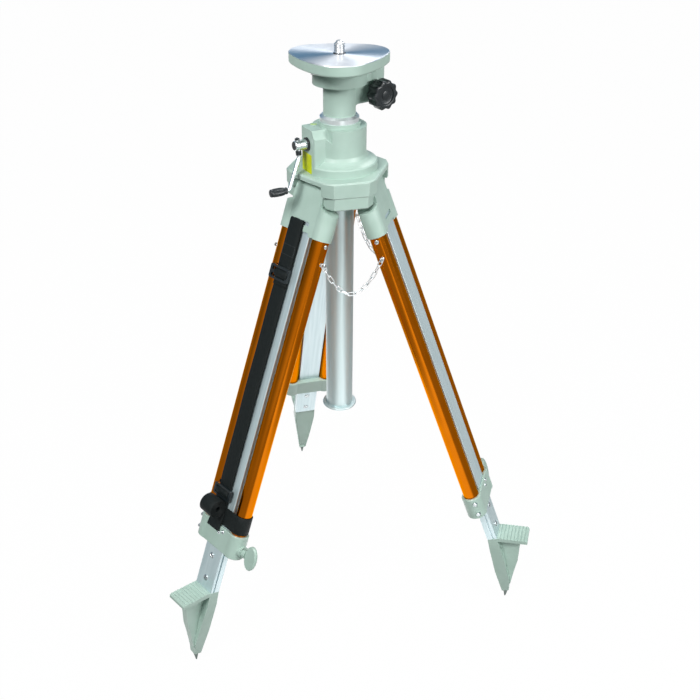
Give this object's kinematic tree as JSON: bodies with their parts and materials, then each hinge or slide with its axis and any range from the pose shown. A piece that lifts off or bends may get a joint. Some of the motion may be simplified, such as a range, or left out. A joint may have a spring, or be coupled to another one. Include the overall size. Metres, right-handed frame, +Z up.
{
  "type": "elevating survey tripod",
  "caption": "Elevating survey tripod with a geared column raised by a hand crank, a flat head with a central fixing screw, folding twin-tube legs that slide out, and cast spiked shoes.",
  "frame": {"origin": "centre of the head plate's top face, on the column axis", "axes": "+Z up the column out of the head face, +X to the right as seen by the camera, +Y away from it"},
  "size_m": [0.6434, 0.6672, 1.0239],
  "materials": {
    "plate": "machined",
    "casting": "paint over casting",
    "steel": "bright",
    "nickel": "bright",
    "black": "satin",
    "column": "satin anodised",
    "gold": "gold anodised",
    "bronze": "turned",
    "yellow": "printed film, blank",
    "vial": "clear",
    "webbing": "woven"
  },
  "bodies": {
    "base": {"shoulder": "casting", "hinge_cap": "casting", "hinge_pins": "steel", "cap_screws": "steel", "lift_housing": "casting", "guide_collar": "column", "lower_bush": "bronze", "level_vial": "vial", "label_plate": "yellow", "crank_bush": "black", "spread_chain_1": "nickel", "spread_chain_2": "nickel", "spread_chain_3": "nickel"},
    "column": {"column_tube": "column", "lift_rack": "steel", "column_end": "column", "head_casting": "casting", "head_plate": "plate", "plate_screws": "steel"},
    "screw": {"fixing_screw": "steel", "screw_gear": "steel"},
    "head_gear": {"head_pinion": "steel", "head_bevel": "steel"},
    "knob": {"fixing_knob": "black", "knob_shaft": "steel", "knob_bevel": "steel"},
    "lift_gear": {"lift_pinion": "steel", "lift_bevel": "steel"},
    "crank": {"crank_shaft": "nickel", "crank_bevel": "steel", "crank_arm": "nickel"},
    "grip": {"crank_grip": "black"},
    "leg_1": {"leg_bracket_1": "casting", "leg_tubes_1": "gold", "leg_collar_1": "casting", "leg_fasteners_1": "nickel", "leg_strap": "webbing", "strap_buckles": "black"},
    "foot_1": {"inner_leg_1": "column", "leg_shoe_1": "casting", "shoe_fittings_1": "steel"},
    "clamp_1": {"clamp_screw_1": "casting"},
    "leg_2": {"leg_bracket_2": "casting", "leg_tubes_2": "gold", "leg_collar_2": "casting", "leg_fasteners_2": "nickel"},
    "foot_2": {"inner_leg_2": "column", "leg_shoe_2": "casting", "shoe_fittings_2": "steel"},
    "clamp_2": {"clamp_screw_2": "casting"},
    "leg_3": {"leg_bracket_3": "casting", "leg_tubes_3": "gold", "leg_collar_3": "casting", "leg_fasteners_3": "nickel"},
    "foot_3": {"inner_leg_3": "column", "leg_shoe_3": "casting", "shoe_fittings_3": "steel"},
    "clamp_3": {"clamp_screw_3": "casting"}
  },
  "joints": [
    {"name": "column_lift", "type": "slide", "parent": "base", "child": "column", "axis": [0, 0, 1], "range_m": [0, 0.3]},
    {"name": "screw_turn", "type": "hinge", "parent": "column", "child": "screw", "pos_m": [0, 0, 0], "axis": [0, 0, 1], "continuous": true},
    {"name": "head_gear_turn", "type": "hinge", "parent": "column", "child": "head_gear", "pos_m": [0.04423, 0.03097, -0.03], "axis": [0, 0, 1], "continuous": true},
    {"name": "knob_turn", "type": "hinge", "parent": "column", "child": "knob", "pos_m": [0.04423, 0.03097, -0.06], "axis": [0.5736, -0.8192, 0], "continuous": true},
    {"name": "lift_gear_turn", "type": "hinge", "parent": "base", "child": "lift_gear", "pos_m": [-0.02719, -0.01446, -0.127], "axis": [0.4695, -0.8829, 0], "range_deg": [-1, 1252]},
    {"name": "crank_turn", "type": "hinge", "parent": "base", "child": "crank", "pos_m": [-0.04815, -0.02447, -0.127], "axis": [-0.8829, -0.4695, 0], "range_deg": [-1, 1252]},
    {"name": "grip_spin", "type": "hinge", "parent": "crank", "child": "grip", "pos_m": [-0.07903, -0.05584, -0.18911], "axis": [-0.8829, -0.4695, 0], "continuous": true},
    {"name": "leg_1_spread", "type": "hinge", "parent": "base", "child": "leg_1", "pos_m": [-0.03286, -0.03147, -0.194], "axis": [0.6916, -0.7222, 0], "range_deg": [-2, 19], "deforming": ["spread_chain_1", "spread_chain_3"]},
    {"name": "foot_1_slide", "type": "slide", "parent": "leg_1", "child": "foot_1", "axis": [-0.2729, -0.2613, -0.9259], "range_m": [-0.012, 0.43]},
    {"name": "clamp_1_turn", "type": "hinge", "parent": "leg_1", "child": "clamp_1", "pos_m": [-0.19934, -0.1909, -0.75884], "axis": [0.6916, -0.7222, 0], "range_deg": [-270, 0]},
    {"name": "leg_2_spread", "type": "hinge", "parent": "base", "child": "leg_2", "pos_m": [0.04368, -0.01273, -0.194], "axis": [0.2797, 0.9601, 0], "range_deg": [-2, 19], "deforming": ["spread_chain_2", "spread_chain_1"]},
    {"name": "foot_2_slide", "type": "slide", "parent": "leg_2", "child": "foot_2", "axis": [0.3425, -0.0998, -0.9342], "range_m": [-0.005, 0.43]},
    {"name": "clamp_2_turn", "type": "hinge", "parent": "leg_2", "child": "clamp_2", "pos_m": [0.25263, -0.07359, -0.76392], "axis": [0.2797, 0.9601, 0], "range_deg": [-270, 0]},
    {"name": "leg_3_spread", "type": "hinge", "parent": "base", "child": "leg_3", "pos_m": [-0.01082, 0.04419, -0.194], "axis": [-0.9713, -0.2379, 0], "range_deg": [-2, 19], "deforming": ["spread_chain_3", "spread_chain_2"]},
    {"name": "foot_3_slide", "type": "slide", "parent": "leg_3", "child": "foot_3", "axis": [-0.0941, 0.3842, -0.9184], "range_m": [-0.018, 0.43]},
    {"name": "clamp_3_turn", "type": "hinge", "parent": "leg_3", "child": "clamp_3", "pos_m": [-0.06822, 0.27858, -0.75431], "axis": [-0.9713, -0.2379, 0], "range_deg": [-270, 0]}
  ],
  "couplings": [
    {"joint": "head_gear_turn", "follows": "screw_turn", "ratio": -2},
    {"joint": "knob_turn", "follows": "screw_turn", "ratio": 2},
    {"joint": "lift_gear_turn", "follows": "column_lift", "rad_per_m": 72.727},
    {"joint": "crank_turn", "follows": "column_lift", "rad_per_m": 72.727}
  ]
}
